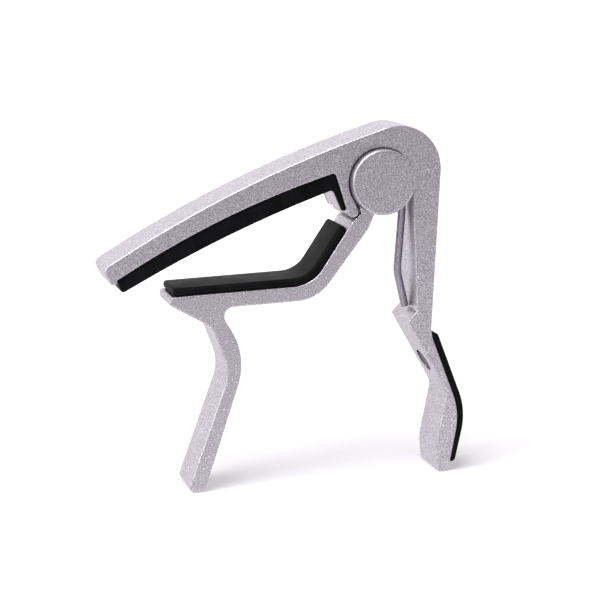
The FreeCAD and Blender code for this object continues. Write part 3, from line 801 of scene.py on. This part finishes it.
@dataclass
class LowerJaw:
    """The lower arm casting with the neck pad on its bed."""

    pivot: Pivot
    finishes: MadeFinishes
    pad_depth: float = 11.8 * MM
    pad_thickness: float = 1.9 * MM
    pad_gap: float = 0.05 * MM
    pad_corner: float = 1.0 * MM
    pad_end_rounding: float = 0.8 * MM
    bend_radius: float = 9.0 * MM
    nose_inset: float = 0.9 * MM
    neck_stop: float = 2.1 * MM

    def neck_pad(self) -> bpy.types.Object:
        """Builds the neck pad along the bent bed.

        Returns:
            The pad, in place of its CAD node.
        """
        nose, bend, notch = (self.pivot.at(51.0, 24.95), self.pivot.at(16.75, 24.0),
                             self.pivot.at(6.9, 9.25))
        middle = self.pad_gap + self.pad_thickness / 2
        start = shifted(nose, bend, self.nose_inset, middle)
        run = (Vector(notch) - Vector(bend)).length
        end = shifted(bend, notch, run - self.neck_stop, middle)
        corner = (*beside_corner(nose, bend, notch, middle), self.bend_radius - middle)
        strip = SweptStrip("neck_pad_rubber", bent_path(start, corner, end), self.pad_depth,
                           self.pad_thickness, self.pad_corner, self.pad_end_rounding)
        pad = strip.build(self.finishes.of(RUBBER))
        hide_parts("neck_pad")
        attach(pad, Body.LOWER_ARM.value)
        return pad

    def build(self) -> list[bpy.types.Object]:
        """Dresses the casting and builds the pad.

        Returns:
            The pieces made or dressed.
        """
        casting = frame["nodes"]["lower_arm"]
        self.finishes.dress(casting, CASTING)
        return [casting, self.neck_pad()]


@dataclass
class RearHandle:
    """The rubber grip on the rear handle's paddle and the rivet that holds it."""

    pivot: Pivot
    finishes: MadeFinishes
    depth: float = 11.8 * MM
    gap: float = 0.05 * MM
    top_thickness: float = 1.6 * MM
    foot_thickness: float = 1.25 * MM
    top_rise: float = 0.3 * MM
    top_slant: float = 1.2 * MM
    top_lift: float = 0.3 * MM
    seat_run: float = 2.4 * MM
    foot_inset: float = 2.4 * MM
    paddle_round: float = 17.0 * MM
    end_round: float = 1.1 * MM
    edge_rounding: float = 0.3 * MM
    rivet_inset: float = 8.0 * MM
    socket_half: float = 1.4 * MM
    socket_start: float = 1.9 * MM
    socket_end: float = 3.45 * MM

    def outline(self) -> list[Point]:
        """Outline of the grip, slanted at its top end and thinner at its foot."""
        kink, paddle, foot = (self.pivot.at(-13.0, 37.5), self.pivot.at(-20.7, 57.5),
                              self.pivot.at(-17.9, 72.3))
        outer = self.gap + self.top_thickness
        low = (Vector(foot) - Vector(paddle)).length - self.foot_inset
        return rounded_outline([
            (*shifted(kink, paddle, -self.top_rise, self.gap + self.top_lift), 0.0),
            (*shifted(kink, paddle, self.seat_run, self.gap), 0.0),
            (*beside_corner(kink, paddle, foot, self.gap), self.paddle_round),
            (*shifted(paddle, foot, low, self.gap), 0.0),
            (*shifted(paddle, foot, low, self.gap + self.foot_thickness), self.end_round),
            (*beside_corner(kink, paddle, foot, outer), self.paddle_round),
            (*shifted(kink, paddle, self.top_slant - self.top_rise, outer), self.end_round),
        ], step_deg=2.5)

    def socket(self) -> bpy.types.Object:
        """Makes the block of room that the rivet's shank needs in the grip.

        Returns:
            The cutter for the socket.
        """
        knee, ledge = self.pivot.at(-17.3, 52.4), self.pivot.at(-7.0, 34.3)
        low, high = self.rivet_inset - self.socket_half, self.rivet_inset + self.socket_half
        room = [shifted(knee, ledge, low, -self.socket_start),
                shifted(knee, ledge, low, -self.socket_end),
                shifted(knee, ledge, high, -self.socket_end),
                shifted(knee, ledge, high, -self.socket_start)]
        return prism("rivet_room", room, -self.socket_half, self.socket_half)

    def grip(self) -> bpy.types.Object:
        """Builds the grip.

        Returns:
            The grip, in place of its CAD node.
        """
        half = self.depth / 2
        grip = prism("thumb_grip_rubber", self.outline(), -half, half)
        soften(grip, self.edge_rounding)
        carved(grip, self.socket())
        self.finishes.dress(grip, RUBBER)
        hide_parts("thumb_grip")
        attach(grip, Body.FRAME.value)
        return grip

    def build(self) -> list[bpy.types.Object]:
        """Builds the grip and dresses its rivet.

        Returns:
            The pieces made or dressed.
        """
        rivet = frame["nodes"]["grip_rivet"]
        self.finishes.dress(rivet, BLACKENED)
        return [self.grip(), rivet]


@dataclass
class Hinge:
    """The pin with its sleeve and washers, and the torsion spring round them."""

    pivot: Pivot
    finishes: MadeFinishes
    twist_start: float = -1.1 * MM
    twist_end: float = 1.4 * MM
    twist_lean: float = 0.25
    WORN_BY: ClassVar[dict[str, Finish]] = {
        "pivot_pin": TURNED, "spring_sleeve": NYLON, "front_washer": NYLON, "back_washer": NYLON}

    def spring(self) -> bpy.types.Object:
        """Makes a copy of the torsion spring in plated spring wire, in place of its hidden CAD
        node.

        Returns:
            The spring, in place of its CAD node.
        """
        spring = placed("twisting_spring", frame["nodes"]["torsion_spring"].data.copy())
        self.finishes.dress(spring, WIRE)
        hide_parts("torsion_spring")
        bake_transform(spring)
        return spring

    def build(self) -> list[bpy.types.Object]:
        """Dresses the hinge's pieces and makes its spring.

        Returns:
            The pieces made or dressed.
        """
        for node, finish in self.WORN_BY.items():
            self.finishes.dress(frame["nodes"][node], finish)
        return [*(frame["nodes"][node] for node in self.WORN_BY), self.spring()]


# ---------------------------------------------------------------------------
# Studio
# ---------------------------------------------------------------------------
@dataclass(frozen=True)
class Softbox:
    """A square lamp: its name, place, length of side and power in watts."""

    name: str
    place: tuple[float, float, float]
    side: float
    power: float


def by_ray(tree: bpy.types.NodeTree, lit: bpy.types.Node, mirrored: bpy.types.Node,
           seen: bpy.types.Node) -> bpy.types.NodeSocket:
    """Picks a shader by the kind of ray that meets it.

    Args:
        tree: The tree that gets the nodes.
        lit: The shader that diffuse light meets.
        mirrored: The shader that reflections show.
        seen: The shader that the camera sees.

    Returns:
        The shader picked.
    """
    rays = add_node(tree, "ShaderNodeLightPath").outputs
    glossy = add_node(tree, "ShaderNodeMath", {
        0: rays["Is Glossy Ray"], 1: rays["Is Transmission Ray"]}, operation="MAXIMUM")
    unseen = add_node(tree, "ShaderNodeMixShader", {
        0: glossy.outputs[0], 1: lit.outputs[0], 2: mirrored.outputs[0]})
    return add_node(tree, "ShaderNodeMixShader", {
        0: rays["Is Camera Ray"], 1: unseen.outputs[0], 2: seen.outputs[0]}).outputs[0]


@dataclass
class Studio:
    """Pale floor, soft lamps, white surroundings and the camera."""

    pivot: Pivot
    azimuth_deg: float = 16.4
    elevation_deg: float = 11.8
    distance: float = 452 * MM
    aim_reach: float = 17.6
    aim_height: float = 45 * MM
    focal_mm: float = 114.0
    sensor_mm: float = 36.0
    shift: tuple[float, float] = (-0.0033, -0.0092)
    sight: Span = (0.01, 20.0)
    floor_size: float = 30.0
    floor_drop: float = 0.02 * MM
    lit_floor: str = "F4F3F5"
    shaded_floor: str = "E8E5EA"
    lift_reach: Span = (0.15, 0.5)
    lift: Span = (0.24, 1.0)
    glow_reach: Span = (-0.75, 0.05)
    glow: Span = (0.40, 1.25)
    sky_reach: Span = (-0.6, 0.5)
    sky: Span = (0.575, 1.30)
    soft_sky: float = 0.55
    softboxes: tuple[Softbox, ...] = (
        Softbox("top_softbox", (-0.24, -0.16, 0.75), 0.5, 4.6),
        Softbox("left_softbox", (-0.8, -0.25, 0.35), 0.4, 3.2),
    )

    def camera(self) -> None:
        """Sets the camera beside the jaw tip, a little above the capo."""
        turn, lift = math.radians(self.azimuth_deg), math.radians(self.elevation_deg)
        back = Vector((-math.sin(turn) * math.cos(lift), -math.cos(turn) * math.cos(lift),
                       math.sin(lift)))
        aim = Vector((self.pivot.x - self.aim_reach * MM, 0.0, self.aim_height))
        data = bpy.data.cameras.new("camera")
        data.lens, data.sensor_width = self.focal_mm, self.sensor_mm
        data.shift_x, data.shift_y = self.shift
        data.clip_start, data.clip_end = self.sight
        camera = placed("camera", data)
        camera.location = aim + back * self.distance
        camera.rotation_euler = (-back).to_track_quat("-Z", "Y").to_euler()
        bpy.context.scene.camera = camera

    def floor_card(self) -> bpy.types.Material:
        """Makes the floor's material.

        It is a plain pale card for the light that it gets. For the camera it is lifted to white
        with its distance, and in reflections it glows and fades towards the front.

        Returns:
            The material.
        """
        material = bpy.data.materials.new("white_card")
        material.use_nodes = True
        tree = material.node_tree
        tree.nodes.clear()
        place = add_node(tree, "ShaderNodeTexCoord").outputs["Object"]
        away = add_node(tree, "ShaderNodeVectorMath", {0: place}, operation="LENGTH")
        depth = add_node(tree, "ShaderNodeSeparateXYZ", {"Vector": place}).outputs["Y"]
        lit = add_node(tree, "ShaderNodeBsdfDiffuse", {"Color": linear(self.lit_floor)})
        shaded = add_node(tree, "ShaderNodeBsdfDiffuse", {"Color": linear(self.shaded_floor)})
        lift = add_node(tree, "ShaderNodeEmission", {
            "Color": linear(WHITE),
            "Strength": ranged(tree, away.outputs["Value"], self.lift_reach, self.lift)})
        raised = add_node(tree, "ShaderNodeAddShader", {0: shaded.outputs[0], 1: lift.outputs[0]})
        mirrored = add_node(tree, "ShaderNodeEmission", {
            "Color": linear(WHITE),
            "Strength": ranged(tree, depth, self.glow_reach, self.glow,
                               interpolation_type="SMOOTHSTEP")})
        add_node(tree, "ShaderNodeOutputMaterial", {
            "Surface": by_ray(tree, lit, mirrored, raised)})
        return material

    def floor(self) -> None:
        """Lays the pale floor just below the capo's feet."""
        half = self.floor_size / 2
        mesh = bpy.data.meshes.new("floor")
        mesh.from_pydata([(-half, -half, 0), (half, -half, 0), (half, half, 0), (-half, half, 0)],
                         [], [(0, 1, 2, 3)])
        mesh.materials.append(self.floor_card())
        floor = placed("floor", mesh)
        floor.location.z = -self.floor_drop

    def surroundings(self) -> None:
        """Makes a world that is white behind, dim in front, and gentle where it lights."""
        world = bpy.data.worlds.new("studio")
        bpy.context.scene.world = world
        world.use_nodes = True
        tree = world.node_tree
        tree.nodes.clear()
        way = add_node(tree, "ShaderNodeSeparateXYZ", {
            "Vector": add_node(tree, "ShaderNodeTexCoord").outputs["Generated"]}).outputs["Y"]
        level = ranged(tree, way, self.sky_reach, self.sky, interpolation_type="SMOOTHSTEP")
        soft, glossy, white = (
            add_node(tree, "ShaderNodeBackground", {"Color": linear(WHITE), "Strength": strength})
            for strength in (self.soft_sky, level, 1.0))
        add_node(tree, "ShaderNodeOutputWorld", {"Surface": by_ray(tree, soft, glossy, white)})

    def hang(self, softbox: Softbox) -> None:
        """Hangs a softbox that faces the capo.

        Args:
            softbox: The lamp to hang.
        """
        data = bpy.data.lights.new(softbox.name, "AREA")
        data.size, data.energy = softbox.side, softbox.power
        lamp = placed(softbox.name, data)
        lamp.location = softbox.place
        aim = Vector((0.0, 0.0, self.aim_height))
        lamp.rotation_euler = (aim - lamp.location).to_track_quat("-Z", "Y").to_euler()

    def build(self) -> None:
        """Sets up the whole studio."""
        bpy.context.scene.view_settings.view_transform = "Standard"
        self.camera()
        self.floor()
        self.surroundings()
        for softbox in self.softboxes:
            self.hang(softbox)


def main() -> None:
    """Builds and dresses the capo, then the studio round it."""
    logging.basicConfig(level=logging.INFO, format="%(message)s")
    pivot, finishes = Pivot.of_frame(), MadeFinishes()
    for assembly in (UpperJaw(pivot, finishes), LowerJaw(pivot, finishes),
                     RearHandle(pivot, finishes), Hinge(pivot, finishes)):
        for piece in assembly.build():
            LOG.info("%s: %s, %d faces", type(assembly).__name__, piece.name,
                     len(piece.data.polygons))
    Studio(pivot).build()


if __name__ == "__main__":
    main()
